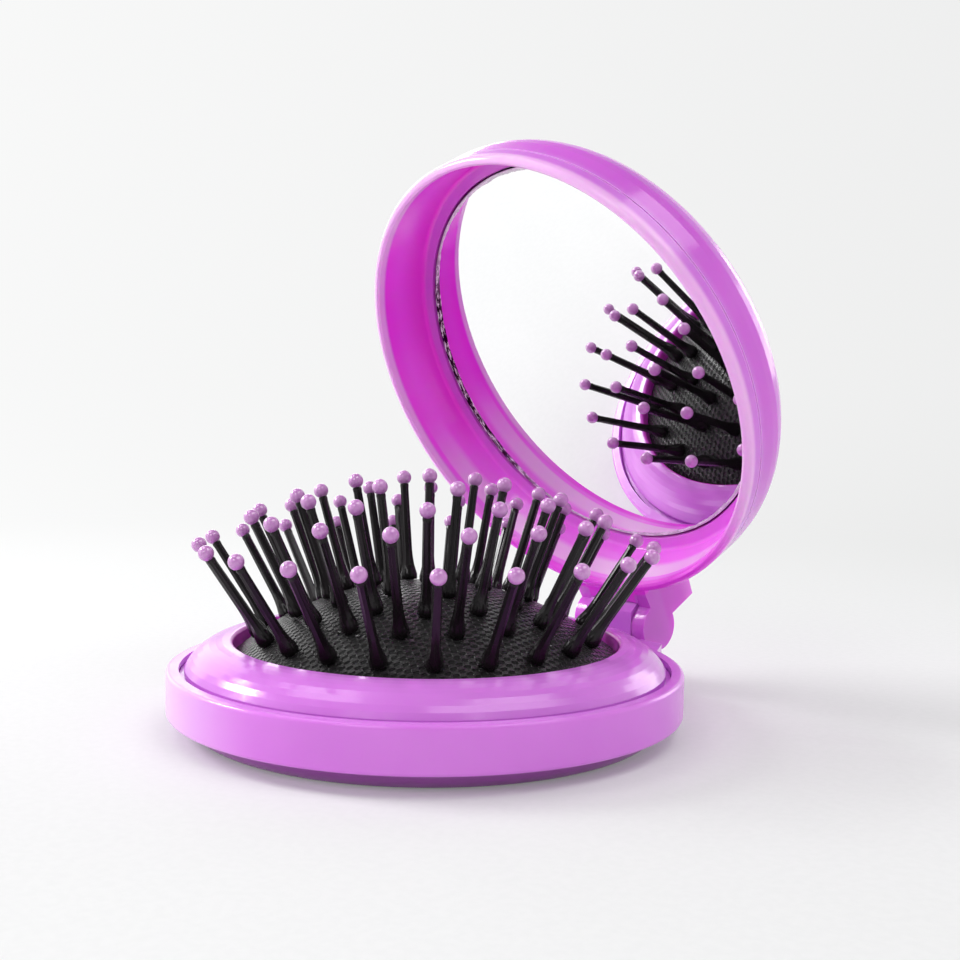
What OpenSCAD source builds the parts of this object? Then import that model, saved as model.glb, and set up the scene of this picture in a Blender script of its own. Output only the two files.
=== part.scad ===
// Round folding hairbrush with a pop-up cushion and a mirror in its hinged lid.
// Millimetres, +Z up. The origin is on the table under the middle of the base,
// X runs along the hinge, and the hinge is on the +Y side. The lid stands open.

/* [Base] */
// Outside diameter of the base and of the lid
body_d = 66; // [55:1:80]
// Height of the rounded foot under the band
foot_h = 2.4; // [2:0.1:2.9]
// How far the band overhangs the foot
foot_inset = 2.4; // [2:0.1:2.9]
// Height of the straight band round the base
band_h = 5.6; // [4.6:0.1:7]
// Wall thickness of the band
base_wall = 1.6; // [1.3:0.1:2]
// Thickness of the floor
floor_t = 1.2; // [1:0.1:1.5]
// Thickness of the step under the retaining ring
step_t = 1.4; // [1.1:0.1:1.7]
// Diameter of the thumb hole in the floor
thumb_d = 22; // [18:1:27]
// Rounding of the band's two edges
band_round = 0.5; // [0.3:0.1:0.8]

/* [Retaining ring] */
// Width of the raised ring, from the band's groove to the mouth
ring_w = 6; // [5:0.1:7.2]
// Height of the lip above the band
ring_rise = 3.3; // [2.7:0.1:4]
// Wall thickness of the ring's skirt
ring_t = 1.4; // [1.1:0.1:1.7]
// Width of the groove between ring and band
groove_w = 0.6; // [0.4:0.1:0.8]
// Depth of the groove below the band's top
groove_d = 0.8; // [0.6:0.1:1]
// Rounding of the lip at the mouth
lip_round = 0.5; // [0.3:0.1:0.6]
// Width of the flat face that clamps the cushion's edge
clamp_w = 2.5; // [2.1:0.1:2.9]
// Depth of the ring's solid corner below the groove
corner_t = 0.6; // [0.4:0.1:0.8]
// Number of snap tabs on the skirt
snap_n = 4; // [3:1:6]
// Length of a snap tab along the skirt, in degrees
snap_angle = 12; // [8:1:16]
// Height of a snap tab
snap_h = 1.2; // [0.9:0.1:1.4]
// How far a snap tab stands out of the skirt
snap_out = 0.4; // [0.3:0.05:0.5]
// Height of the snap tabs above the step
snap_rise = 1.2; // [0.9:0.1:1.4]

/* [Cushion] */
// Height of the dome above its clamped edge
dome_rise = 9.1; // [7.5:0.1:11]
// Thickness of the rubber skin
skin_t = 0.8; // [0.7:0.05:1]
// Thickness of the clamped edge
edge_t = 1; // [0.8:0.1:1.2]
// Height of the seat rib above the band's top
seat_rise = 0.3; // [0.2:0.05:0.4]
// Width of the seat rib
rib_t = 1.5; // [1.2:0.1:1.7]
// Thickness of the push disc under the middle of the cushion
button_t = 0.5; // [0.4:0.1:0.7]
// Diameter of the push disc's boss round the middle pin
boss_d = 3; // [2.6:0.1:3.6]
// Distance from the push disc to the inner ring of pins
button_margin = 1; // [0.8:0.1:1.2]

/* [Pins] */
// Length of a pin from the skin to the centre of its ball tip
pin_len = 13.7; // [11:0.1:16.5]
// Diameter of a ball tip
ball_d = 1.94; // [1.6:0.02:2.4]
// Diameter of a pin above its foot
foot_d = 1.25; // [1.05:0.05:1.5]
// Diameter of a pin under its ball
neck_d = 1.1; // [0.95:0.05:1.3]
// Diameter of the collar on the skin and of the flange under it
collar_d = 2.2; // [1.9:0.1:2.7]
// Height of the collar
collar_h = 1; // [0.8:0.1:1.2]
// Height of the taper above the collar
taper_h = 2.8; // [2.3:0.1:3.4]
// Thickness of the flange under the skin
flange_t = 0.35; // [0.3:0.05:0.4]
// Diameter of a pin where it goes through the skin
grip_d = 1.2; // [1:0.1:1.4]
// Diameter of the stud inside a ball
stud_d = 0.7; // [0.6:0.1:0.9]
// How far the stud reaches past the centre of its ball
stud_reach = 0.4; // [0.3:0.1:0.5]
// Distance from the outermost pins to the mouth
edge_margin = 3.4; // [2.8:0.1:4.1]
// Pins in each ring, from the inner ring outwards
ring_count = [6, 12, 16, 21]; // [3:1:24]
// Ring radii as shares of the outermost one, for an even spread over the dome
ring_share = [0.333, 0.583, 0.779, 1]; // [0:0.001:1]
// Turn of each ring's first pin from +X, in degrees
ring_phase = [39.8, 18.2, 15.4, -4.7]; // [-30:0.1:60]
// Groups of neighbouring pins that the outermost ring is split into
sectors = 7; // [7]

/* [Lid] */
// Angle between lid and base
open_angle = 63.5; // [60:0.5:170]
// Depth of the mirror's face below the rim
mirror_depth = 9.1; // [8:0.1:11]
// Thickness of the mirror glass
mirror_t = 1.2; // [1:0.1:1.5]
// Bevel round the mirror's face
mirror_bevel = 0.25; // [0.2:0.05:0.3]
// Thickness of the adhesive pad behind the glass
pad_t = 0.5; // [0.4:0.1:0.6]
// Distance from the adhesive pad's edge to the glass's edge
pad_inset = 1.85; // [1.5:0.05:2.2]
// Thickness of the lid's back
back_t = 1.7; // [1.4:0.1:2.1]
// Wall thickness of the lid at its rim
rim_t = 1.2; // [1:0.1:1.5]
// Draft of the lid's inner wall, rim to ledge
lid_draft = 0.8; // [0.6:0.1:1]
// Width of the ledge round the mirror
ledge_w = 2; // [1.6:0.1:2.4]
// How far the ledge stands above the mirror's face
ledge_rise = 0.2; // [0.1:0.05:0.3]
// Rounding between inner wall and ledge
ledge_round = 0.6; // [0.5:0.1:0.8]
// Rounding between the lid's side and its back
back_round = 7; // [5.8:0.1:7.5]
// Slope of the crowned back where it meets that rounding
crown_angle = 5; // [3:0.5:6]
// Rounding of the rim's outer edge
rim_round = 0.8; // [0.6:0.1:0.9]
// Chamfer of the rim's inner edge
rim_nick = 0.3; // [0.2:0.1:0.4]
// Height of the rim band, up to the crease round the lid
rim_band = 2.6; // [2.1:0.1:2.9]
// Depth of the crease
crease_d = 0.2; // [0.1:0.05:0.3]
// Height of the crease
crease_h = 0.3; // [0.2:0.05:0.4]

/* [Hinge] */
// Distance from the band to the hinge axis
hinge_out = 5.8; // [5.4:0.1:7]
// Height of the hinge axis above the band's top
hinge_rise = 1.2; // [1:0.1:1.5]
// Diameter of the steel hinge pin
hinge_pin_d = 2; // [1.6:0.1:2.4]
// Diameter of the knuckles
knuckle_d = 7; // [5.8:0.1:8.4]
// Length of the base's middle knuckle
knuckle_len = 8.6; // [7:0.1:10]
// Height of the middle knuckle's bevelled corner above the hinge axis, as a share of its radius
knuckle_bevel = 0.6; // [0.4:0.05:0.8]
// Height of the arm's lower edge above the band's lower edge
arm_rise = 0.8; // [0.6:0.1:1]
// Thickness of each lid ear
ear_t = 2.3; // [1.9:0.1:2.8]
// Height of the ears' corners above the hinge axis
ear_rise = 8.7; // [7.2:0.1:9]
// Wall that closes the blind end of the hinge bore
blind_wall = 0.5; // [0.4:0.1:0.7]
// How far a hinge shoulder stands out of the band
shoulder_out = 1.6; // [1.2:0.1:1.9]
// Width of a hinge shoulder along its straight edge
shoulder_w = 4; // [3.3:0.1:4.8]
// Width of the slope from that edge back to the band
shoulder_slope = 3; // [2.5:0.1:3.6]

/* [Fits] */
// Play between ring skirt and band
ring_fit = 0.1; // [0.05:0.05:0.15]
// Play of a snap tab in its pocket
snap_fit = 0.1; // [0.05:0.05:0.15]
// Play between the rubber and a pin
soft_gap = 0.05; // [0.03:0.01:0.08]
// Play of a stud in its ball
stud_fit = 0.01; // [0.01:0.01:0.03]
// Gap between a ball and the shoulder of its pin
shoulder_gap = 0.04; // [0.02:0.01:0.06]
// Gap between the push disc and the skin
button_gap = 0.2; // [0.15:0.05:0.3]
// Play of the middle pin's stem in the push disc
button_fit = 0.05; // [0.03:0.01:0.08]
// Gap between the closed lid's rim and the band
lid_gap = 0.1; // [0.05:0.05:0.2]
// Play round the mirror in its pocket
glass_fit = 0.15; // [0.1:0.05:0.2]
// Play of the hinge pin in its bores
pin_fit = 0.05; // [0.02:0.01:0.08]
// Gap between an ear and the middle knuckle
side_gap = 0.1; // [0.05:0.05:0.2]
// Gap between the lid's web and the middle knuckle
sweep_gap = 0.2; // [0.15:0.05:0.3]
// Gap between an ear and a hinge shoulder
shoulder_fit = 0.3; // [0.2:0.05:0.4]

/* [Hidden] */
$fn = 96;
ARC_STEPS = 8;
SECTOR_PINS = ring_count[3] / sectors;
OUTER_PIN_NODES = [for (k = [1:sectors]) str("outer_pins_", k)];
OUTER_TIP_NODES = [for (k = [1:sectors]) str("outer_tips_", k)];

// How far joined shapes run into each other
bite = 0.4;

// Base
base_r = body_d / 2;
band_top = foot_h + band_h;
foot_r = base_r - foot_inset - foot_h;
step_z = foot_h + step_t;
shell_in_r = base_r - base_wall;
thumb_r = thumb_d / 2;

// Retaining ring
skirt_r = shell_in_r - ring_fit;
ring_r = skirt_r - groove_w;
mouth_r = ring_r - ring_w;
lip_z = band_top + ring_rise;
groove_z = band_top - groove_d;
arch_c = mouth_r + lip_round;
arch_w = ring_r - arch_c;
arch_r = (arch_w * arch_w + ring_rise * ring_rise) / (2 * ring_rise);
arch_z = lip_z - arch_r;
snap_z = step_z + snap_rise;

// Cushion
seat_z = band_top + seat_rise;
clamp_z = seat_z + edge_t;
clamp_r = mouth_r + clamp_w;
edge_r = clamp_r - 2 * ring_fit;
rib_r = edge_r - rib_t;
dome_r = (mouth_r * mouth_r + dome_rise * dome_rise) / (2 * dome_rise);
dome_z = clamp_z + dome_rise - dome_r;

// Pins
ball_r = ball_d / 2;
neck_r = neck_d / 2;
collar_r = collar_d / 2;
grip_r = grip_d / 2;
stud_r = stud_d / 2;
stud_top = pin_len + stud_reach;
flange_top = -skin_t - soft_gap;
flange_low = flange_top - flange_t;
seat_h = pin_len - sqrt(ball_r * ball_r - neck_r * neck_r);
shoulder_h = seat_h - shoulder_gap;
outer_root = mouth_r - edge_margin;
root_r = [for (s = ring_share) s * outer_root];

// Push disc
button_r = root_r[0] - collar_r - button_margin;
button_top = dome_z + sqrt(pow(dome_r - skin_t, 2) - button_r * button_r) - button_gap;
button_low = button_top - button_t;
boss_top = dome_z + dome_r + flange_low;

// Lid, measured with the lid closed
rim_z = band_top + lid_gap;
lid_in_r = base_r - rim_t;
ledge_r = lid_in_r - lid_draft;
pocket_r = ledge_r - ledge_w;
mirror_r = pocket_r - glass_fit;
mirror_z = rim_z + mirror_depth;
mirror_back = mirror_z + mirror_t;
pocket_z = mirror_back + pad_t;
back_z = pocket_z + back_t;
ledge_z = mirror_z - ledge_rise;
crease_z = rim_z + rim_band;

// Hinge
hinge_y = base_r + hinge_out;
hinge_z = band_top + hinge_rise;
knuckle_r = knuckle_d / 2;
bore_r = hinge_pin_d / 2 + pin_fit;
ear_in = knuckle_len / 2 + side_gap;
ear_out = ear_in + ear_t;
bevel_r = knuckle_bevel * knuckle_r;
web_r = norm([knuckle_r, bevel_r]) + sweep_gap;

// Points of an arc round centre c from angle a to angle b, without the first ones if a start is given
function arc(c, r, a, b, start = 0) =
    [for (i = [start:ARC_STEPS]) let (t = a + (b - a) * i / ARC_STEPS) c + r * [cos(t), sin(t)]];

// Height of the dome's outside at radius r
function dome_at(r) = dome_z + sqrt(dome_r * dome_r - r * r);

// Plate across the hinge: an outline in Y and Z, from x = a to x = b
module plate(a, b) {
    translate([a, 0, 0])
        rotate([90, 0, 90])
            linear_extrude(b - a)
                children();
}

// Rod along the hinge axis, from x = a to x = b
module rod(r, a, b) {
    translate([a, hinge_y, hinge_z])
        rotate([0, 90, 0])
            cylinder(r = r, h = b - a);
}

// The same piece on both sides of the hinge
module both_sides() {
    children();
    mirror([1, 0, 0]) children();
}

// Swings the closed lid open about the hinge axis
module swung() {
    translate([0, hinge_y, hinge_z])
        rotate([-open_angle, 0, 0])
            translate([0, -hinge_y, -hinge_z])
                children();
}

// Places of one ring's pins from first to last, each square to the dome
module on_ring(ring, first, last) {
    for (i = [first:last])
        rotate([0, 0, ring_phase[ring] + 360 * i / ring_count[ring]])
            translate([root_r[ring], 0, dome_at(root_r[ring])])
                rotate([0, asin(root_r[ring] / dome_r), 0])
                    children();
}

// Places of all the pins of one ring
module whole_ring(ring) {
    on_ring(ring, 0, ring_count[ring] - 1) children();
}

// Places of the pins in one sector of the outermost ring
module on_sector(sector) {
    first = (sector - 1) * SECTOR_PINS;
    on_ring(3, first, first + SECTOR_PINS - 1) children();
}

// Place of the middle pin
module at_centre() {
    translate([0, 0, dome_z + dome_r]) children();
}

// The snap tabs' band, or with a gap the pockets that take them
module snap_band(r, out, gap) {
    half_angle = snap_angle / 2 + gap;
    for (i = [0:snap_n - 1])
        rotate([0, 0, 45 + 360 * i / snap_n - half_angle])
            rotate_extrude(angle = 2 * half_angle)
                translate([r, snap_z - gap])
                    square([out, snap_h + 2 * gap]);
}

module base_outline() {
    polygon(concat(
        [[thumb_r, 0]],
        arc([foot_r, foot_h], foot_h, -90, 0),
        arc([base_r - band_round, foot_h + band_round], band_round, -90, 0),
        arc([base_r - band_round, band_top - band_round], band_round, 0, 90),
        [[shell_in_r, band_top], [shell_in_r, step_z], [foot_r + foot_h - floor_t, step_z]],
        arc([foot_r, foot_h], foot_h - floor_t, 0, -90),
        [[edge_r, floor_t], [edge_r, seat_z], [rib_r, seat_z], [rib_r, floor_t]],
        [[thumb_r, floor_t]]
    ));
}

// Arm and squared middle knuckle
module knuckle_outline() {
    root_y = base_r - base_wall / 2;
    translate([hinge_y, hinge_z]) circle(r = knuckle_r);
    polygon([
        [root_y, foot_h + arm_rise],
        [hinge_y, hinge_z - knuckle_r + bite],
        [hinge_y, hinge_z + knuckle_r],
        [hinge_y - bevel_r, hinge_z + knuckle_r],
        [hinge_y - knuckle_r, hinge_z + bevel_r],
        [hinge_y - knuckle_r, band_top - lid_gap],
        [root_y, band_top - lid_gap]
    ]);
}

// Shoulder that guards the outside of an ear, seen from above
module shoulder_outline() {
    near = ear_out + shoulder_fit;
    far = near + shoulder_w + shoulder_slope;
    band_y = sqrt(base_r * base_r - far * far);
    polygon([
        [near, base_r - base_wall - bite],
        [near, base_r + shoulder_out],
        [near + shoulder_w, base_r + shoulder_out - bite],
        [far, band_y - bite],
        [far, band_y - base_wall]
    ]);
}

module base_shell() {
    color("orchid")
        difference() {
            union() {
                rotate_extrude() base_outline();
                plate(-knuckle_len / 2, knuckle_len / 2) knuckle_outline();
                both_sides()
                    translate([0, 0, step_z])
                        linear_extrude(band_top - lid_gap - step_z)
                            shoulder_outline();
            }
            translate([0, 0, step_z]) cylinder(r = shell_in_r, h = band_top);
            snap_band(shell_in_r - bite, bite + snap_out + snap_fit, snap_fit);
            rod(bore_r, -ear_out, ear_out);
        }
}

module ring_outline() {
    skirt_in = skirt_r - ring_t;
    polygon(concat(
        arc([arch_c, lip_z - lip_round], lip_round, 180, 90),
        arc([arch_c, arch_z], arch_r, 90, asin((band_top - arch_z) / arch_r), 1),
        [[ring_r, groove_z], [skirt_r, groove_z], [skirt_r, step_z]],
        [[skirt_in, step_z], [skirt_in, groove_z - corner_t]],
        [[clamp_r, clamp_z], [mouth_r, clamp_z]]
    ));
}

module cushion_ring() {
    color("orchid") {
        rotate_extrude() ring_outline();
        snap_band(skirt_r - bite, bite + snap_out, 0);
    }
}

module pin_hole() {
    translate([0, 0, -2 * skin_t]) cylinder(r = grip_r + soft_gap, h = 3 * skin_t);
}

module cushion() {
    color("#1c1c1e")
        difference() {
            union() {
                translate([0, 0, seat_z]) cylinder(r = edge_r, h = edge_t);
                intersection() {
                    translate([0, 0, dome_z]) sphere(r = dome_r);
                    translate([0, 0, clamp_z - bite]) cylinder(r = mouth_r, h = dome_rise + 2 * bite);
                }
            }
            translate([0, 0, dome_z]) sphere(r = dome_r - skin_t);
            at_centre() pin_hole();
            for (ring = [0:3])
                whole_ring(ring) pin_hole();
        }
}

// A pin: flange under the skin, grip through it, collar, taper, shaft and stud
module bristle() {
    color("#161618")
        rotate_extrude()
            polygon([
                [0, flange_low],
                [collar_r, flange_low],
                [collar_r, flange_top],
                [grip_r, flange_top],
                [grip_r, soft_gap],
                [collar_r, soft_gap],
                [collar_r, collar_h],
                [foot_d / 2, collar_h + taper_h],
                [neck_r, shoulder_h],
                [stud_r, shoulder_h],
                [stud_r, stud_top],
                [0, stud_top]
            ]);
}

// A ball, flat where it sits on the pin's shoulder and bored for its stud
module ball_tip() {
    color("plum")
        difference() {
            translate([0, 0, pin_len]) sphere(r = ball_r);
            translate([0, 0, seat_h - ball_d]) cylinder(r = ball_d, h = ball_d);
            translate([0, 0, shoulder_h])
                cylinder(r = stud_r + stud_fit, h = stud_top + soft_gap - shoulder_h);
        }
}

module pop_button() {
    color("orchid")
        difference() {
            union() {
                translate([0, 0, button_low]) cylinder(r = button_r, h = button_t);
                translate([0, 0, button_low]) cylinder(r = boss_d / 2, h = boss_top - button_low);
            }
            translate([0, 0, button_low - bite]) cylinder(r = grip_r + button_fit, h = boss_top);
        }
}

// The middle pin has a stem that carries the push disc
module pin_centre() {
    color("#161618") {
        at_centre() bristle();
        translate([0, 0, button_low]) cylinder(r = grip_r, h = boss_top + flange_t / 2 - button_low);
    }
}

// Outside of the closed lid, filled
module lid_outline() {
    side_c = [base_r - back_round, back_z - back_round];
    turn = 90 - crown_angle;
    edge = side_c + back_round * [cos(turn), sin(turn)];
    crown_r = edge[0] / cos(turn);
    crown_z = edge[1] - crown_r * sin(turn);
    polygon(concat(
        [[0, rim_z]],
        arc([base_r - rim_round, rim_z + rim_round], rim_round, -90, 0),
        [[base_r, crease_z], [base_r - crease_d, crease_z]],
        [[base_r - crease_d, crease_z + crease_h], [base_r, crease_z + crease_h]],
        arc(side_c, back_round, 0, turn),
        arc([0, crown_z], crown_r, turn, 90, 1)
    ));
}

// Hollow of the closed lid, with the mirror's pocket
module lid_hollow() {
    corner = [ledge_r - ledge_round, ledge_z - ledge_round];
    polygon(concat(
        [[0, rim_z - bite], [lid_in_r + rim_nick, rim_z - bite], [lid_in_r + rim_nick, rim_z]],
        [[lid_in_r, rim_z + rim_nick]],
        arc(corner, ledge_round, 0, 90),
        [[pocket_r, ledge_z], [pocket_r, pocket_z], [0, pocket_z]]
    ));
}

module ear_outline() {
    translate([hinge_y, hinge_z]) circle(r = knuckle_r);
    polygon([
        [base_r - back_round, rim_z + rim_round],
        [base_r, rim_z + rim_round / 2],
        [hinge_y - knuckle_r + bite, hinge_z - bite],
        [hinge_y, hinge_z - bite],
        [hinge_y - bite, hinge_z + ear_rise],
        [base_r - back_round / 2, hinge_z + ear_rise + bite]
    ]);
}

// Web that joins the two ears under the rim
module web_outline() {
    difference() {
        polygon([
            [base_r - back_round, rim_z + rim_round],
            [base_r, rim_z + rim_round / 2],
            [hinge_y - knuckle_r, rim_z + rim_round / 2],
            [hinge_y - knuckle_r + bite, hinge_z + knuckle_r],
            [base_r - back_round, hinge_z + ear_rise]
        ]);
        translate([hinge_y, hinge_z]) circle(r = web_r);
    }
}

module lid_shell() {
    color("mediumorchid")
        swung()
            difference() {
                union() {
                    rotate_extrude() lid_outline();
                    both_sides() plate(ear_in, ear_out) ear_outline();
                    plate(-ear_in - bite, ear_in + bite) web_outline();
                }
                rotate_extrude() lid_hollow();
                rod(bore_r, -ear_out - bite, ear_out - blind_wall);
            }
}

module mirror_glass() {
    color("lightsteelblue")
        swung()
            rotate_extrude()
                polygon([
                    [0, mirror_z],
                    [mirror_r - mirror_bevel, mirror_z],
                    [mirror_r, mirror_z + mirror_bevel],
                    [mirror_r, mirror_back],
                    [0, mirror_back]
                ]);
}

module mirror_pad() {
    color("whitesmoke")
        swung()
            translate([0, 0, mirror_back])
                cylinder(r = mirror_r - pad_inset, h = pad_t);
}

module hinge_pin() {
    color("silver")
        rod(hinge_pin_d / 2, -ear_out + 2 * side_gap, ear_out - blind_wall - side_gap);
}

base_shell();
cushion_ring();
cushion();
pop_button();
hinge_pin();
lid_shell();
mirror_glass();
mirror_pad();
pin_centre();
at_centre() ball_tip();  // tip_centre
whole_ring(0) bristle();  // pins_inner
whole_ring(0) ball_tip();  // tips_inner
whole_ring(1) bristle();  // pins_middle
whole_ring(1) ball_tip();  // tips_middle
whole_ring(2) bristle();  // pins_third
whole_ring(2) ball_tip();  // tips_third
for (k = [1:sectors]) {
    on_sector(k) bristle();
    on_sector(k) ball_tip();
}
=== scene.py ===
import math

import bmesh
import bpy
from mathutils import Matrix, Vector


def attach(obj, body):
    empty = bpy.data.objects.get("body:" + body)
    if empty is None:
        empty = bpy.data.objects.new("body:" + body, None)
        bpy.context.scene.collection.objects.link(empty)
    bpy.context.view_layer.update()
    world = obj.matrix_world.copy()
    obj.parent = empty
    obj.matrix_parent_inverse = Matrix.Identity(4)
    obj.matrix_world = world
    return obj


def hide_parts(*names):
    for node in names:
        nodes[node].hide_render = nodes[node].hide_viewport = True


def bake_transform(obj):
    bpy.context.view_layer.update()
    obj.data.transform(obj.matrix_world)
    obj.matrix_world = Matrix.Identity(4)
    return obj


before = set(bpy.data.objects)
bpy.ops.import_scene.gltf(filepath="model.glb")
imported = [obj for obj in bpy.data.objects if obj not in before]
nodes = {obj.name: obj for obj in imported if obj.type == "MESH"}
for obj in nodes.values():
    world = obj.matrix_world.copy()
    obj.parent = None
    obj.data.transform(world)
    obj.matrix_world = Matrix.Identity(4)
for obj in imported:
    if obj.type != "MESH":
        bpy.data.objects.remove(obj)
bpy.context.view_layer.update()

MM = 0.001

# ---------------------------------------------------------------- sizes, in metres
# Base and ring
base_r = 33 * MM
mouth_r = 24.7 * MM
mouth_wall_low, mouth_wall_high = 6 * MM, 7 * MM
foot_low, foot_high = 1.7 * MM, 2.45 * MM
arm_near, arm_far = 31 * MM, 34 * MM

# Cushion: a dome with its edge clamped between seat and ring
seat_z = 8.3 * MM
clamp_z = 9.3 * MM
cushion_edge_r = 27 * MM
dome_r = 38.07253 * MM
dome_z = -19.67253 * MM
skin_t = 0.8 * MM
seam_z = 14.3 * MM
spin_steps = 216
same_point = 1e-7
dimple_depth = 0.14 * MM
dimple_reach = 1.9 * MM
dimpled_r = mouth_r - 0.5 * MM

# Lid, as it lies closed
lid_turn = math.radians(63.5)
hinge = Vector((0, 38.8 * MM, 9.2 * MM))
lid_rim_z = 8.1 * MM
lid_wall_r = 31.8 * MM
crease_z = lid_rim_z + 2.6 * MM
web_half = 4.4 * MM
pocket_r = 29 * MM
mirror_r = 28.85 * MM
mirror_z = 17.2 * MM
pocket_z = 18.9 * MM
ledge_z = 17 * MM
shoulder_low, shoulder_high = 15 * MM, 18.5 * MM
shoulder_in, shoulder_out = 27 * MM, 31.5 * MM

# Pins: count, distance of the roots from the middle and first angle, ring by ring
ring_count = (6, 12, 16, 21)
ring_root = (7.0929 * MM, 12.4179 * MM, 16.5927 * MM, 21.3 * MM)
ring_phase = (39.8, 18.2, 15.4, -4.7)
inner_rings = ("inner", "middle", "third")
outer_ring = len(inner_rings)
sector_count = 7

# Height above the skin, half width, and how deep the lengthwise grooves are there
pin_profile = (
    (-1.20, 1.10, 0), (-0.85, 1.10, 0), (-0.85, 0.60, 0), (0.02, 0.60, 0), (0.02, 1.00, 0),
    (0.20, 1.12, 0.02), (0.75, 1.13, 0.03), (1.20, 1.03, 0.05), (2.0, 0.84, 0.09), (2.9, 0.71, 0.11),
    (3.9, 0.64, 0.12), (8.2, 0.60, 0.12), (12.2, 0.56, 0.12), (12.62, 0.60, 0.04), (12.86, 0.55, 0),
    (12.86, 0.345, 0), (14.08, 0.345, 0),
)
stem_profile = ((-1.88, 0.60, 0), (-1.20, 0.60, 0))
pin_sides = 16
crisp_angle = math.radians(38)

# Net pressed into the rubber, and the wave heights where a hole ends and a thread is whole
net_pitch = 1.08 * MM
net_lean = 0.60
net_turn = math.radians(24)
net_relief = 0.36 * MM
net_hole_end, net_thread_start = 1.05, -0.10

# Ground edge of the mirror: its width, what wear adds to it, and how ragged it is
cut_edge = 0.70 * MM
cut_edge_worn = 0.75 * MM
cut_edge_ragged = 0.7 * MM

# ---------------------------------------------------------------- colours
# Lilac plastic
lilac = (0.66, 0.185, 0.755)
lilac_pale = (0.72, 0.230, 0.81)
# The tones from here to plum are painted light and shade on the one lilac plastic: painted highlights,
# sheen, glow of light through the thin walls, and shade.
lilac_painted_highlight = (0.97, 0.58, 0.98)
lilac_painted_light = (0.98, 0.24, 0.99)
band_painted_light = (0.86, 0.22, 0.95)
band_painted_sheen = (0.93, 0.80, 0.96)
rim_painted_highlight = (0.99, 0.58, 0.98)
crease_painted_highlight = (0.90, 0.55, 0.95)
shoulder_painted_highlight = (0.97, 0.52, 0.95)
orchid_painted_shade = (0.70, 0.100, 0.74)
magenta = (0.98, 0.085, 0.90)
magenta_glow_and_shade = (0.98, 0.055, 0.88)
magenta_painted_shade = (0.84, 0.052, 0.74)
plum = (0.30, 0.075, 0.33)
pearl_shade, pearl_light = (0.56, 0.21, 0.58), (0.66, 0.30, 0.67)

# Black nylon and rubber
nylon_black, nylon_worn = (0.006, 0.0048, 0.0055), (0.013, 0.0100, 0.0115)
# The holes' near black is painted shade.
net_hole_shade, net_thread = (0.0006, 0.0006, 0.0006), (0.020, 0.0190, 0.0196)
dust_grey = (0.085, 0.082, 0.085)

# Mirror, foam and steel
silver_smeared, silver_clean = (0.955, 0.958, 0.96), (0.975, 0.975, 0.978)
# The bright chip white is partly a painted highlight, and the dark also paints the shadow line round the
# mirror.
chip_dark_and_gap_shade, frost_and_highlight_white = (0.010, 0.008, 0.012), (0.95, 0.95, 0.96)
foam_shade, foam_light = (0.46, 0.46, 0.45), (0.72, 0.72, 0.70)
steel_shade, steel_light = (0.50, 0.50, 0.51), (0.66, 0.66, 0.67)

# Room
paper_shade, paper_light = (0.79, 0.795, 0.795), (0.81, 0.814, 0.814)
studio_white = (0.997, 1.0, 0.999, 1)

# Where the mirror's wear and the band's painted sheen change: the way across the part, and from where to
# where along it
worn_way = (-0.990, 0.139)
worn_start, worn_end = 0.62 * mirror_r, 0.90 * mirror_r
sheen_way = (-0.685, -0.729)
sheen_start, sheen_end = 17 * MM, 32 * MM

# The same for the rim's painted shade, the wall's painted light and its painted highlight stripe, straight
# towards the hinge
rim_shade_start, rim_shade_end = 14 * MM, 28 * MM
lit_wall_start, lit_wall_end = 6 * MM, 24 * MM
stripe_start, stripe_end = 6 * MM, 22 * MM

# ---------------------------------------------------------------- camera and lamps
camera_lens, camera_film = 51.02, 36
camera_place = (0.130989, -0.114566, 0.044286)
camera_across = Vector((0.68473503, 0.72857142, 0.01793418))
camera_up = Vector((-0.06489768, 0.03644568, 0.99722615))
camera_back = Vector((0.72589685, -0.68399956, 0.07223823))

# Name, side and height in degrees, distance, width, height of the panel, and how bright it looks
lamp_panels = (
    ("key_panel", -150, 32, 0.8, 0.30, 0.16, 21),
    ("front_left_panel", -128, 14, 0.9, 0.30, 0.22, 1.6),
    ("front_top_panel", -143, 63, 0.8, 0.46, 0.28, 3.0),
    ("back_top_panel", 16, 62, 0.8, 0.66, 0.36, 3.0),
    ("left_window", 172, 20, 0.8, 0.42, 0.42, 1.3),
    ("right_window", 88, 16, 0.8, 0.34, 0.30, 2.8),
    ("back_left_panel", 146, 18, 0.85, 0.24, 0.22, 2.2),
    ("front_panel", -70, 34, 0.9, 0.30, 0.30, 4.4),
)
panel_aim_z = 0.02

# The backdrop's brightness low down and overhead, and between which heights it changes
sky_low, sky_high = 0.90, 0.10
sky_fade_low, sky_fade_high = 0.36, 0.85

# More light to one side, and a dimmer patch that the camera does not see
side_gain = 0.12
side_way = Vector((-0.69, -0.72, 0))
dim_way = Vector((0.70, -0.66, 0.27))
dim_low = 0.30
dim_edge, dim_middle = 0.45, 0.95

# The floor, and where its paper starts and ends to turn into the backdrop
floor_r = 6
paper_r, backdrop_r = 0.08, 0.28
backdrop_least = 0.2


def make_camera():
    data = bpy.data.cameras.new("camera")
    data.lens = camera_lens
    data.sensor_width = camera_film
    data.clip_start = 0.005
    data.clip_end = 20
    camera = bpy.data.objects.new("camera", data)
    turn = Matrix((camera_across, camera_up, camera_back)).transposed().to_4x4()
    camera.matrix_world = Matrix.Translation(camera_place) @ turn
    bpy.context.scene.collection.objects.link(camera)
    bpy.context.scene.camera = camera


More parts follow.
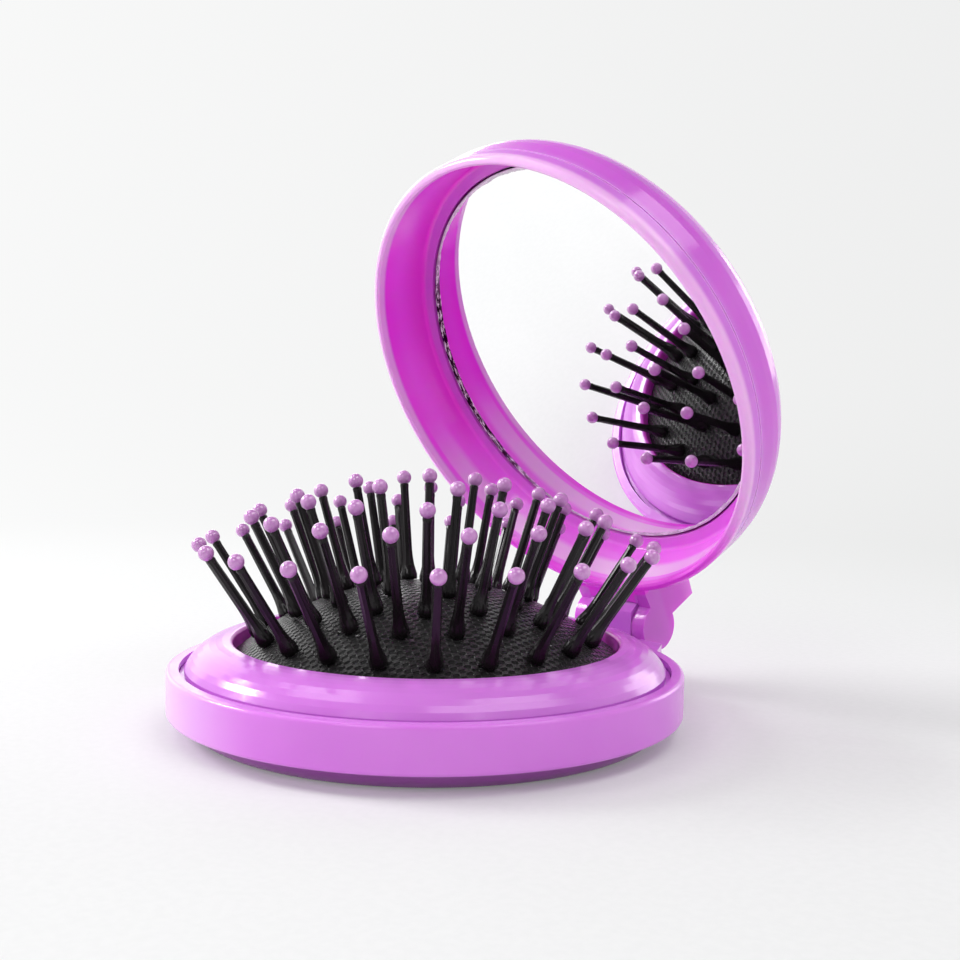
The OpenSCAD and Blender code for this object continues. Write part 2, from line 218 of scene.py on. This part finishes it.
def make_panel(name, side, height, distance, width, tall, glow):
    """A soft panel lamp that faces the brush and is not seen itself."""
    data = bpy.data.lights.new(name, "AREA")
    data.shape = "RECTANGLE"
    data.size = width
    data.size_y = tall
    data.energy = glow * math.pi * width * tall
    panel = bpy.data.objects.new(name, data)
    around = Matrix.Rotation(math.radians(side + 90), 4, "Z")
    down = Matrix.Rotation(math.radians(90 - height), 4, "X")
    away = Matrix.Translation((0, 0, distance))
    panel.matrix_world = Matrix.Translation((0, 0, panel_aim_z)) @ around @ down @ away
    panel.visible_camera = False
    bpy.context.scene.collection.objects.link(panel)


# ---------------------------------------------------------------- node helpers
def new_finish(name):
    """An empty material with a Principled shader: returns the material, its tree and the shader."""
    material = bpy.data.materials.new(name)
    material.use_nodes = True
    tree = material.node_tree
    tree.nodes.clear()
    out = tree.nodes.new("ShaderNodeOutputMaterial")
    shader = tree.nodes.new("ShaderNodeBsdfPrincipled")
    tree.links.new(shader.outputs[0], out.inputs[0])
    return material, tree, shader


def join(tree, value, socket):
    """Links an output to the socket, or writes a plain value in it."""
    if isinstance(value, bpy.types.NodeSocket):
        tree.links.new(value, socket)
    else:
        socket.default_value = value


def maths(tree, what, a, b=0.0, clamp=False):
    node = tree.nodes.new("ShaderNodeMath")
    node.operation = what
    node.use_clamp = clamp
    join(tree, a, node.inputs[0])
    join(tree, b, node.inputs[1])
    return node.outputs[0]


def both(tree, a, b):
    return maths(tree, "MULTIPLY", a, b)


def total(tree, a, b):
    return maths(tree, "ADD", a, b)


def ramp(tree, value, low, high, to_low=0.0, to_high=1.0):
    """Runs smoothly from to_low at low to to_high at high."""
    node = tree.nodes.new("ShaderNodeMapRange")
    node.interpolation_type = "SMOOTHSTEP"
    join(tree, value, node.inputs["Value"])
    join(tree, low, node.inputs["From Min"])
    join(tree, high, node.inputs["From Max"])
    join(tree, to_low, node.inputs["To Min"])
    join(tree, to_high, node.inputs["To Max"])
    return node.outputs[0]


def blend_colours(tree, amount, a, b):
    """Colour a where the amount is 0, colour b where it is 1."""
    node = tree.nodes.new("ShaderNodeMix")
    node.data_type = "RGBA"
    join(tree, amount, node.inputs[0])
    for value, socket in ((a, node.inputs[6]), (b, node.inputs[7])):
        join(tree, value if isinstance(value, bpy.types.NodeSocket) else (*value, 1), socket)
    return node.outputs[2]


def place(tree, turn=(0, 0, 0), shift=(0, 0, 0), scale=(1, 1, 1)):
    """The piece's own coordinates, turned, shifted and stretched."""
    where = tree.nodes.new("ShaderNodeTexCoord").outputs["Object"]
    node = tree.nodes.new("ShaderNodeMapping")
    tree.links.new(where, node.inputs["Vector"])
    node.inputs["Rotation"].default_value = turn
    node.inputs["Location"].default_value = shift
    node.inputs["Scale"].default_value = scale
    return node.outputs[0]


def closed_lid_place(tree):
    """Coordinates of the open lid, turned back to where it lies closed."""
    back = Matrix.Rotation(lid_turn, 3, "X")
    return place(tree, turn=(lid_turn, 0, 0), shift=tuple(hinge - back @ hinge))


def grain(tree, where, scale, detail=2.0, rough=0.5):
    """Cloudy noise from 0 to 1, with scale lumps to the metre."""
    node = tree.nodes.new("ShaderNodeTexNoise")
    tree.links.new(where, node.inputs["Vector"])
    node.inputs["Scale"].default_value = scale
    node.inputs["Detail"].default_value = detail
    node.inputs["Roughness"].default_value = rough
    return node.outputs["Fac"]


def uneven(tree, where, scale, to_low=0.0, to_high=1.0, detail=2, high=0.7):
    """Noise stretched so that it reaches both values."""
    return ramp(tree, grain(tree, where, scale, detail), 0.3, high, to_low, to_high)


def bump(tree, shader, height, distance, strength=1.0):
    node = tree.nodes.new("ShaderNodeBump")
    node.inputs["Strength"].default_value = strength
    node.inputs["Distance"].default_value = distance
    tree.links.new(height, node.inputs["Height"])
    tree.links.new(node.outputs[0], shader.inputs["Normal"])


def split(tree, vector):
    node = tree.nodes.new("ShaderNodeSeparateXYZ")
    tree.links.new(vector, node.inputs[0])
    return node.outputs


def radius(tree, x, y):
    return maths(tree, "SQRT", total(tree, both(tree, x, x), both(tree, y, y)))


def towards(tree, x, y, way):
    """How far a point lies towards a side of the part."""
    return total(tree, both(tree, x, way[0]), both(tree, y, way[1]))


# ---------------------------------------------------------------- finishes
def lilac_plastic(tree, where, scale):
    """The lilac tone with faint flow marks."""
    return blend_colours(tree, uneven(tree, where, scale, detail=3), lilac, lilac_pale)


def polish(tree, shader, where, depth):
    """The gloss of polished ABS: slight flow marks, soft wear marks in the roughness."""
    shader.inputs["IOR"].default_value = 1.5
    shader.inputs["Subsurface Weight"].default_value = depth
    shader.inputs["Subsurface Radius"].default_value = (1.0, 0.16, 0.85)
    shader.inputs["Subsurface Scale"].default_value = 2.2 * MM
    wear = grain(tree, where, 900, 3, 0.6)
    tree.links.new(ramp(tree, wear, 0.35, 0.75, 0.13, 0.24), shader.inputs["Roughness"])
    bump(tree, shader, grain(tree, where, 90, 2), 0.10 * MM, 0.5)


def make_shell_finish():
    """Base and ring: a band painted lighter for light on it, with a painted sheen towards one side, a
    painted magenta glow in the mouth and painted plum shade on the foot.
    """
    material, tree, shader = new_finish("lilac_abs")
    where = place(tree)
    tone = lilac_plastic(tree, where, 60)
    x, y, z = split(tree, where)
    r = radius(tree, x, y)

    # The band's outer wall, which gets painted light: a lighter tone standing in for more light falling on
    # it.
    band = ramp(tree, r, base_r - 0.45 * MM, base_r - 0.15 * MM)
    band = both(tree, band, ramp(tree, y, arm_far, arm_near))
    tone = blend_colours(tree, both(tree, band, 0.35), tone, band_painted_light)
    # Painted sheen: the band is painted paler towards one side, standing in for the bright reflection of
    # the backdrop there.
    painted_sheen = ramp(tree, towards(tree, x, y, sheen_way), sheen_start, sheen_end, 0.0, 0.45)
    tone = blend_colours(tree, both(tree, band, painted_sheen), tone, band_painted_sheen)

    # Painted glow: the mouth's inner wall is painted magenta, standing in for light passing through and
    # bouncing inside the thin plastic.
    mouth_painted_glow = both(
        tree,
        ramp(tree, r, mouth_r + 0.45 * MM, mouth_r + 0.1 * MM),
        ramp(tree, z, mouth_wall_low, mouth_wall_high),
    )
    tone = blend_colours(tree, mouth_painted_glow, tone, magenta)
    # Painted shade: the foot is painted plum, standing in for the shade under the base.
    foot = ramp(tree, z, foot_high, foot_low, 0.0, 0.85)
    tone = blend_colours(tree, foot, tone, plum)

    tree.links.new(tone, shader.inputs["Base Color"])
    polish(tree, shader, where, 0.15)
    return material


def lid_inner_painted_light(tree, y, z, r):
    """Painted magenta glow of light through the thin wall, deepening into painted shade towards the mirror,
    and painted light with a pale painted highlight stripe by the hinge.
    """
    wall_low, wall_mid = lid_rim_z + 1.6 * MM, lid_rim_z + 4 * MM
    # Painted glow: magenta standing in for light through the thin wall, deepening into painted shade
    # towards the mirror.
    tone = blend_colours(tree, ramp(tree, z, wall_low, wall_mid), magenta_glow_and_shade, magenta)
    tone = blend_colours(tree, ramp(tree, z, wall_mid, mirror_z), tone, magenta_painted_shade)

    # The ledge gets less of the painted glow.
    ledge = ramp(tree, r, pocket_r + 1.9 * MM, pocket_r + 1.2 * MM)
    tone = blend_colours(tree, both(tree, ledge, 0.6), tone, lilac)
    # Painted light: a brighter lilac towards the hinge, standing in for light falling on that wall.
    hinge_painted_light = ramp(tree, y, lit_wall_start, lit_wall_end, 0.0, 0.9)
    tone = blend_colours(tree, hinge_painted_light, tone, lilac_painted_light)

    # Painted highlight: a pale stripe along the wall by the hinge.
    stripe = both(
        tree,
        ramp(tree, z, lid_rim_z + 1.9 * MM, lid_rim_z + 2.3 * MM),
        ramp(tree, z, lid_rim_z + 5.8 * MM, lid_rim_z + 4.4 * MM),
    )
    stripe = both(tree, stripe, ramp(tree, y, stripe_start, stripe_end, 0.0, 0.9))
    return blend_colours(tree, stripe, tone, lilac_painted_highlight)


def make_lid_finish():
    """Lid: lilac outside, with a painted highlight on the crease, shoulder and rim, painted shade on the
    side, ears and web, and painted magenta glow and shade inside.
    """
    material, tree, shader = new_finish("lilac_abs_lid")
    where = closed_lid_place(tree)
    tone = lilac_plastic(tree, where, 60)
    x, y, z = split(tree, where)
    r = radius(tree, x, y)

    # Painted highlight and shade on the rim: pale pink standing in for light on its face, turning to
    # magenta shade towards the hinge.
    rim = both(
        tree,
        ramp(tree, z, lid_rim_z + 1.7 * MM, lid_rim_z + 0.9 * MM, 0.0, 0.85),
        ramp(tree, r, base_r + 0.9 * MM, base_r + 0.3 * MM),
    )
    rim_shade_by_hinge = ramp(tree, y, rim_shade_start, rim_shade_end)
    rim_painted_tone = blend_colours(tree, rim_shade_by_hinge, rim_painted_highlight, magenta_glow_and_shade)
    tone = blend_colours(tree, rim, tone, rim_painted_tone)

    # Painted shade: the middle of the lid's side is painted a darker, saturated orchid, standing in for how
    # light falls there.
    side = both(
        tree,
        ramp(tree, r, base_r - 0.25 * MM, base_r - 0.1 * MM),
        ramp(tree, z, crease_z + 0.2 * MM, crease_z + 1.4 * MM, 0.0, 0.55),
    )
    tone = blend_colours(tree, side, tone, orchid_painted_shade)

    # Painted highlight: the shoulder is painted paler, standing in for bright light on it.
    shoulder = both(
        tree,
        ramp(tree, z, shoulder_low, shoulder_high, 0.0, 0.45),
        ramp(tree, r, shoulder_in, shoulder_out),
    )
    tone = blend_colours(tree, shoulder, tone, shoulder_painted_highlight)

    # Painted highlight: the crease is painted pale, standing in for the highlight along it and hiding its
    # shade.
    crease = both(
        tree,
        ramp(tree, z, crease_z - 0.12 * MM, crease_z - 0.02 * MM),
        ramp(tree, z, crease_z + 0.42 * MM, crease_z + 0.32 * MM),
    )
    off_the_ears = ramp(tree, r, base_r + 0.1 * MM, base_r + 0.02 * MM, 0.0, 0.6)
    tone = blend_colours(tree, both(tree, crease, off_the_ears), tone, crease_painted_highlight)

    # Painted shade: the ears and the web between them are painted deep magenta, standing in for the shade
    # under the rim.
    ears = ramp(tree, r, base_r + 0.3 * MM, base_r + 0.9 * MM, 0.0, 0.3)
    tone = blend_colours(tree, ears, tone, magenta_painted_shade)
    web = both(
        tree,
        ramp(tree, maths(tree, "ABSOLUTE", x), web_half + 0.1 * MM, web_half - 0.1 * MM, 0.0, 0.75),
        ramp(tree, r, base_r + 0.1 * MM, base_r + 0.5 * MM),
    )
    tone = blend_colours(tree, web, tone, magenta_glow_and_shade)

    # The hollow's roof is the ledge, and inside the pocket it is the pocket's floor
    roof = ramp(tree, r, pocket_r + 0.5 * MM, pocket_r + 0.2 * MM, ledge_z + 0.35 * MM, pocket_z + 0.4 * MM)
    hollow = both(
        tree,
        ramp(tree, r, lid_wall_r + 0.15 * MM, lid_wall_r - 0.05 * MM),
        ramp(tree, z, roof, maths(tree, "SUBTRACT", roof, 0.2 * MM)),
    )
    hollow = both(tree, hollow, ramp(tree, z, lid_rim_z + 1.0 * MM, lid_rim_z + 1.6 * MM))
    # Painted glow, light and shade inside the lid's hollow.
    tone = blend_colours(tree, hollow, tone, lid_inner_painted_light(tree, y, z, r))

    tree.links.new(tone, shader.inputs["Base Color"])
    polish(tree, shader, where, 0.5)
    return material


def make_button_finish():
    """The push disc, matt where thumbs rub it."""
    material, tree, shader = new_finish("lilac_button")
    where = place(tree)
    tree.links.new(lilac_plastic(tree, where, 300), shader.inputs["Base Color"])
    tree.links.new(uneven(tree, where, 1500, 0.3, 0.45), shader.inputs["Roughness"])
    bump(tree, shader, grain(tree, where, 2500, 2), 0.01 * MM, 0.5)
    return material


def make_tip_finish():
    """Pearly drops of paint on the pins' ends."""
    material, tree, shader = new_finish("pearl_lilac_tips")
    where = place(tree)
    cloud = uneven(tree, where, 900, detail=3, high=0.75)
    tree.links.new(blend_colours(tree, cloud, pearl_shade, pearl_light), shader.inputs["Base Color"])
    shader.inputs["Subsurface Weight"].default_value = 0.15
    shader.inputs["Subsurface Radius"].default_value = (1.0, 0.5, 1.0)
    shader.inputs["Subsurface Scale"].default_value = 0.4 * MM
    shader.inputs["Coat Weight"].default_value = 1.0
    shader.inputs["Coat IOR"].default_value = 1.75
    shader.inputs["Coat Roughness"].default_value = 0.16
    tree.links.new(uneven(tree, where, 2600, 0.26, 0.40), shader.inputs["Roughness"])
    bump(tree, shader, grain(tree, where, 1500, 2), 0.02 * MM, 0.5)
    return material


def make_pin_finish():
    """Moulded black nylon, a little cloudy."""
    material, tree, shader = new_finish("charcoal_nylon")
    where = place(tree)
    cloud = uneven(tree, where, 160, detail=3, high=0.75)
    tree.links.new(blend_colours(tree, cloud, nylon_black, nylon_worn), shader.inputs["Base Color"])
    shader.inputs["IOR"].default_value = 1.36
    tree.links.new(uneven(tree, where, 420, 0.16, 0.24), shader.inputs["Roughness"])
    bump(tree, shader, grain(tree, where, 200, 2), 0.012 * MM, 0.3)
    return material


def net_pattern(tree, where):
    """Threads of the net as 1 and its lozenge holes as 0, on the cushion's net map."""
    net = tree.nodes.new("ShaderNodeUVMap")
    net.uv_map = "net"
    turned = tree.nodes.new("ShaderNodeMapping")
    tree.links.new(net.outputs[0], turned.inputs["Vector"])
    turned.inputs["Rotation"].default_value = (0, 0, net_turn)
    across, along, _ = split(tree, turned.outputs[0])
    waves = 2 * math.pi / net_pitch
    waviness = both(tree, maths(tree, "SUBTRACT", grain(tree, where, 180, 2), 0.5), 0.5)
    u = total(tree, both(tree, across, waves), waviness)
    v = both(tree, along, waves * net_lean)
    ups = maths(tree, "COSINE", total(tree, u, v))
    downs = maths(tree, "COSINE", maths(tree, "SUBTRACT", u, v))
    return ramp(tree, total(tree, ups, downs), net_hole_end, net_thread_start)


def make_net_finish():
    """Black rubber skin pressed with a net: raised threads round small lozenge holes, which are painted
    near black as painted shade.
    """
    material, tree, shader = new_finish("net_rubber")
    where = place(tree)
    thread = net_pattern(tree, where)
    # Painted shade: the holes are painted near black, standing in for the shade inside them.
    tone = blend_colours(tree, thread, net_hole_shade, net_thread)
    dust = ramp(tree, grain(tree, where, 900, 3), 0.4, 0.8, 0.0, 0.25)
    tone = blend_colours(tree, both(tree, dust, thread), tone, dust_grey)
    tree.links.new(tone, shader.inputs["Base Color"])
    shader.inputs["Specular IOR Level"].default_value = 0.32
    tree.links.new(ramp(tree, thread, 0.2, 1.0, 0.7, 0.20), shader.inputs["Roughness"])
    fine = both(tree, grain(tree, where, 5000, 2), 0.18)
    bump(tree, shader, total(tree, thread, fine), net_relief)
    return material


def make_mirror_finish():
    """Silvered glass, its ground edge chipped bright and black; the edge's white is frosted glass and
    partly a painted highlight, and a dark line round its rim is painted shadow.
    """
    material, tree, shader = new_finish("mirror_silver")
    where = closed_lid_place(tree)
    x, y, _ = split(tree, where)
    r = radius(tree, x, y)

    # Chips run along the edge, so their noise is read along it and outwards
    round_edge = both(tree, maths(tree, "ARCTAN2", y, x), mirror_r)
    edge_place = tree.nodes.new("ShaderNodeCombineXYZ")
    tree.links.new(both(tree, round_edge, 0.22), edge_place.inputs[0])
    tree.links.new(r, edge_place.inputs[1])
    chipped = grain(tree, edge_place.outputs[0], 1500, 4, 0.75)
    ragged = both(tree, maths(tree, "SUBTRACT", chipped, 0.5), cut_edge_ragged)

    worn = ramp(tree, towards(tree, x, y, worn_way), worn_start, worn_end)
    width = total(tree, both(tree, worn, cut_edge_worn), cut_edge)
    reach = total(tree, total(tree, r, ragged), width)
    edge = ramp(tree, reach, mirror_r, mirror_r + 0.08 * MM)

    chips = ramp(tree, grain(tree, edge_place.outputs[0], 2600, 3, 0.7), 0.51, 0.56)
    # Partly painted highlight: the unworn side of the edge is painted white, for frosted glass and for the
    # highlight along it.
    whole = both(tree, maths(tree, "SUBTRACT", 1.0, worn), 0.75)
    bright = maths(tree, "ADD", chips, whole, clamp=True)
    # Painted shadow: the outermost rim of the edge stays dark, standing in for the shade of the gap round
    # the mirror.
    bright = both(tree, bright, ramp(tree, r, mirror_r - 0.12 * MM, mirror_r - 0.20 * MM))
    flaked = blend_colours(tree, bright, chip_dark_and_gap_shade, frost_and_highlight_white)

    smear = uneven(tree, where, 70, detail=3, high=0.8)
    silver = blend_colours(tree, smear, silver_smeared, silver_clean)
    tree.links.new(blend_colours(tree, edge, silver, flaked), shader.inputs["Base Color"])
    flaked_bright = both(tree, edge, bright)
    tree.links.new(ramp(tree, flaked_bright, 0.0, 1.0, 1.0, 0.1), shader.inputs["Metallic"])
    tree.links.new(ramp(tree, edge, 0.0, 1.0, 0.012, 0.3), shader.inputs["Roughness"])
    return material


def make_foam_finish():
    """Open foam of the mirror's adhesive disc."""
    material, tree, shader = new_finish("foam_tape")
    cells = grain(tree, place(tree), 2200, 3, 0.7)
    tone = blend_colours(tree, ramp(tree, cells, 0.35, 0.7), foam_shade, foam_light)
    tree.links.new(tone, shader.inputs["Base Color"])
    shader.inputs["Roughness"].default_value = 0.85
    bump(tree, shader, cells, 0.12 * MM)
    return material


def make_steel_finish():
    """Steel wire with draw marks along the hinge pin."""
    material, tree, shader = new_finish("drawn_steel")
    drawn = grain(tree, place(tree, scale=(0.05, 1, 1)), 4000, 3, 0.6)
    tone = blend_colours(tree, ramp(tree, drawn, 0.3, 0.7), steel_shade, steel_light)
    tree.links.new(tone, shader.inputs["Base Color"])
    shader.inputs["Metallic"].default_value = 1.0
    tree.links.new(ramp(tree, drawn, 0.3, 0.7, 0.22, 0.38), shader.inputs["Roughness"])
    bump(tree, shader, drawn, 0.01 * MM, 0.6)
    return material


def give(node, material):
    """Puts the finish in all of the node's material slots."""
    piece = nodes[node]
    if not piece.material_slots:
        piece.data.materials.append(material)
    for slot in piece.material_slots:
        slot.material = material


# ---------------------------------------------------------------- pieces
def finished_piece(name, bm, material, smooth=True):
    bmesh.ops.recalc_face_normals(bm, faces=bm.faces)
    for face in bm.faces:
        face.smooth = smooth
    mesh = bpy.data.meshes.new(name)
    bm.to_mesh(mesh)
    bm.free()
    mesh.materials.append(material)
    piece = bpy.data.objects.new(name, mesh)
    bpy.context.scene.collection.objects.link(piece)
    return piece


def sharpen(piece):
    """Marks the edges that turn by more than the crisp angle as sharp."""
    bm = bmesh.new()
    bm.from_mesh(piece.data)
    for edge in bm.edges:
        edge.smooth = not (len(edge.link_faces) == 2 and edge.calc_face_angle(0) > crisp_angle)
    bm.to_mesh(piece.data)
    bm.free()


def dome_at(r):
    return dome_z + math.sqrt(dome_r * dome_r - r * r)


def pin_places(ring, first=0, last=None):
    """Where the pins of one ring stand, each square to the dome."""
    count = ring_count[ring]
    root = ring_root[ring]
    for i in range(first, count if last is None else last):
        yield (
            Matrix.Rotation(math.radians(ring_phase[ring] + 360 * i / count), 4, "Z")
            @ Matrix.Translation((root, 0, dome_at(root)))
            @ Matrix.Rotation(math.asin(root / dome_r), 4, "Y")
        )


dome_top = Vector((0, 0, dome_z + dome_r))
all_roots = [spot.to_translation() for ring in range(len(ring_count)) for spot in pin_places(ring)]
all_roots.append(dome_top)


def make_bristle(profile):
    """One pin, drawn up level by level from a circle, with shallow grooves down its sides."""
    bm = bmesh.new()
    old_height, old_wide, old_groove = profile[0]
    start = bmesh.ops.create_circle(bm, cap_ends=True, radius=old_wide * MM, segments=pin_sides)
    bmesh.ops.translate(bm, verts=start["verts"], vec=(0, 0, old_height * MM))
    edges = list(bm.edges)
    for height, wide, groove in profile[1:]:
        lifted = bmesh.ops.extrude_edge_only(bm, edges=edges)
        verts = [v for v in lifted["geom"] if isinstance(v, bmesh.types.BMVert)]
        edges = [e for e in lifted["geom"] if isinstance(e, bmesh.types.BMEdge)]
        bmesh.ops.translate(bm, verts=verts, vec=(0, 0, (height - old_height) * MM))
        for v in verts:
            corner = round(math.atan2(v.co.y, v.co.x) / (2 * math.pi / pin_sides))
            grooved = corner % 2
            factor = wide * (1 - groove * grooved) / (old_wide * (1 - old_groove * grooved))
            v.co.x *= factor
            v.co.y *= factor
        old_height, old_wide, old_groove = height, wide, groove
    bmesh.ops.contextual_create(bm, geom=edges)
    mesh = bpy.data.meshes.new("bristle")
    bm.to_mesh(mesh)
    bm.free()
    return mesh


def make_bristles(name, places, body, node, material, bristle):
    """One piece with a copy of the bristle at each place."""
    bm = bmesh.new()
    for spot in places:
        before = len(bm.verts)
        bm.from_mesh(bristle)
        bm.verts.ensure_lookup_table()
        bmesh.ops.transform(bm, matrix=spot, verts=bm.verts[before:])
    piece = finished_piece(name, bm, material)
    sharpen(piece)
    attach(piece, body)
    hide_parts(node)


def press_dimples(bm):
    """Pulls the skin in a little round every pin."""
    centre = Vector((0, 0, dome_z))
    for v in bm.verts:
        if math.hypot(v.co.x, v.co.y) > dimpled_r:
            continue
        outwards = (v.co - centre).normalized()
        near = min((centre + outwards * dome_r - root).length for root in all_roots)
        v.co -= outwards * dimple_depth * math.exp(-(near / dimple_reach) ** 2)


def lay_net_map(bm):
    """Flattens the dome round its top, so that the net keeps its size all over it."""
    net = bm.loops.layers.uv.new("net")
    for face in bm.faces:
        for loop in face.loops:
            co = loop.vert.co
            r = math.hypot(co.x, co.y)
            arc = dome_r * math.asin(min(r / dome_r, 1))
            share = arc / r if r > same_point else 1
            loop[net].uv = (co.x * share, co.y * share)


def turned_skin(name, profile, material):
    """A closed outline in the XZ plane, turned once round the Z axis, with dimples and a net map."""
    bm = bmesh.new()
    verts = [bm.verts.new((r, 0, z)) for r, z in profile]
    ends = list(zip(verts, verts[1:]))
    if profile[0][0] > same_point or profile[-1][0] > same_point:
        ends.append((verts[-1], verts[0]))
    edges = [bm.edges.new(pair) for pair in ends]
    bmesh.ops.spin(
        bm, geom=verts + edges, cent=(0, 0, 0), axis=(0, 0, 1),
        angle=2 * math.pi, steps=spin_steps, use_merge=True,
    )
    bmesh.ops.remove_doubles(bm, verts=bm.verts, dist=same_point)
    press_dimples(bm)
    lay_net_map(bm)
    return finished_piece(name, bm, material)


def dome_arc(shell_r, start, stop, count):
    """Points on a sphere round the dome's centre, between two angles from its top."""
    return [
        (shell_r * math.sin(a), dome_z + shell_r * math.cos(a))
        for a in (start + (stop - start) * i / count for i in range(count + 1))
    ]


def make_cushion(material):
    """The rubber dome in two rounds: the skirt that runs down to the seat, and the crown."""
    seam = math.acos((seam_z - dome_z) / dome_r)
    mouth = math.asin((mouth_r - 0.05 * MM) / dome_r)
    inner_r = dome_r - skin_t
    inner_end = math.acos((seat_z + 0.02 * MM - dome_z) / inner_r)
    crown_out = dome_arc(dome_r, 0, seam, 34)
    crown_in = dome_arc(inner_r, seam, 0, 24)
    crown = turned_skin("cushion_crown", crown_out + crown_in, material)
    skirt_out = dome_arc(dome_r, seam, mouth, 18)
    skirt_in = dome_arc(inner_r, inner_end, seam, 14)
    edge = [
        (cushion_edge_r - 0.2 * MM, clamp_z - 0.02 * MM),
        (cushion_edge_r - 0.03 * MM, clamp_z - 0.2 * MM),
        (cushion_edge_r - 0.03 * MM, seat_z + 0.15 * MM),
        (cushion_edge_r - 0.15 * MM, seat_z + 0.02 * MM),
    ]
    skirt = turned_skin("cushion_skirt", skirt_out + edge + skirt_in, material)
    for piece in (crown, skirt):
        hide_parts("cushion")
    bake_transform(skirt)
    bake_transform(crown)


# ---------------------------------------------------------------- room
def along_way(tree, way, axis):
    """How far a direction points along an axis."""
    dot = tree.nodes.new("ShaderNodeVectorMath")
    dot.operation = "DOT_PRODUCT"
    tree.links.new(way, dot.inputs[0])
    dot.inputs[1].default_value = axis
    return dot.outputs["Value"]


def glow_by_way(tree, way):
    """Brightness of the backdrop in a direction: a little more towards the window side."""
    return total(tree, both(tree, along_way(tree, way, side_way), side_gain), sky_low)


def make_room():
    """A pale backdrop that dims overhead, and whose dim patch only lights and reflects."""
    world = bpy.data.worlds.new("studio")
    bpy.context.scene.world = world
    world.use_nodes = True
    tree = world.node_tree
    tree.nodes.clear()
    out = tree.nodes.new("ShaderNodeOutputWorld")
    sky = tree.nodes.new("ShaderNodeBackground")
    tree.links.new(sky.outputs[0], out.inputs[0])
    sky.inputs["Color"].default_value = studio_white
    way = tree.nodes.new("ShaderNodeTexCoord").outputs["Generated"]
    height = split(tree, way)[2]
    glow = ramp(tree, height, sky_fade_low, sky_fade_high, glow_by_way(tree, way), sky_high)
    dim = ramp(tree, along_way(tree, way, dim_way), dim_edge, dim_middle, 1.0, dim_low)
    seen = tree.nodes.new("ShaderNodeLightPath").outputs["Is Camera Ray"]
    tree.links.new(both(tree, glow, maths(tree, "MAXIMUM", dim, seen)), sky.inputs["Strength"])


def make_floor():
    """Pale paper under the brush, which turns into the backdrop further away."""
    bm = bmesh.new()
    bmesh.ops.create_circle(bm, cap_ends=True, radius=floor_r, segments=96)
    material, tree, shader = new_finish("floor_paper")
    where = place(tree)
    tone = blend_colours(tree, uneven(tree, where, 900, detail=3), paper_shade, paper_light)
    tree.links.new(tone, shader.inputs["Base Color"])
    shader.inputs["Roughness"].default_value = 0.9
    shader.inputs["Specular IOR Level"].default_value = 0.1

    way = tree.nodes.new("ShaderNodeVectorMath")
    way.operation = "NORMALIZE"
    tree.links.new(where, way.inputs[0])
    far = tree.nodes.new("ShaderNodeEmission")
    far.inputs["Color"].default_value = studio_white
    tree.links.new(glow_by_way(tree, way.outputs[0]), far.inputs["Strength"])

    path = tree.nodes.new("ShaderNodeLightPath").outputs
    seen = maths(tree, "ADD", path["Is Camera Ray"], path["Is Glossy Ray"], clamp=True)
    seen = maths(tree, "ADD", seen, path["Is Transmission Ray"], clamp=True)
    x, y, _ = split(tree, where)
    away = ramp(tree, radius(tree, x, y), paper_r, backdrop_r, backdrop_least, 1.0)
    mix = tree.nodes.new("ShaderNodeMixShader")
    tree.links.new(both(tree, away, seen), mix.inputs[0])
    tree.links.new(shader.outputs[0], mix.inputs[1])
    tree.links.new(far.outputs[0], mix.inputs[2])
    out = next(n for n in tree.nodes if n.type == "OUTPUT_MATERIAL")
    tree.links.new(mix.outputs[0], out.inputs[0])
    finished_piece("floor", bm, material, smooth=False)


# ---------------------------------------------------------------- the brush in its room
bpy.context.scene.view_settings.view_transform = "Standard"
make_camera()
for lamp_panel in lamp_panels:
    make_panel(*lamp_panel)
make_room()
make_floor()

shell_finish = make_shell_finish()
lid_finish = make_lid_finish()
pin_finish = make_pin_finish()
tip_finish = make_tip_finish()

give("base_shell", shell_finish)
give("cushion_ring", shell_finish)
give("lid_shell", lid_finish)
give("pop_button", make_button_finish())
give("hinge_pin", make_steel_finish())
give("mirror_glass", make_mirror_finish())
give("mirror_pad", make_foam_finish())
give("tip_centre", tip_finish)
for ring_name in inner_rings:
    give(f"tips_{ring_name}", tip_finish)
for sector in range(1, sector_count + 1):
    give(f"outer_tips_{sector}", tip_finish)

make_cushion(make_net_finish())

bristle = make_bristle(pin_profile)
bristle_with_stem = make_bristle(stem_profile + pin_profile)
at_centre = Matrix.Translation(dome_top)
make_bristles("bristle_centre", [at_centre], "pad_centre", "pin_centre", pin_finish, bristle_with_stem)
for ring, ring_name in enumerate(inner_rings):
    make_bristles(
        f"bristles_{ring_name}", pin_places(ring),
        f"pad_{ring_name}", f"pins_{ring_name}", pin_finish, bristle,
    )
in_sector = ring_count[outer_ring] // sector_count
for sector in range(1, sector_count + 1):
    first = (sector - 1) * in_sector
    make_bristles(
        f"bristles_outer_{sector}", pin_places(outer_ring, first, first + in_sector),
        f"pad_outer_{sector}", f"outer_pins_{sector}", pin_finish, bristle,
    )
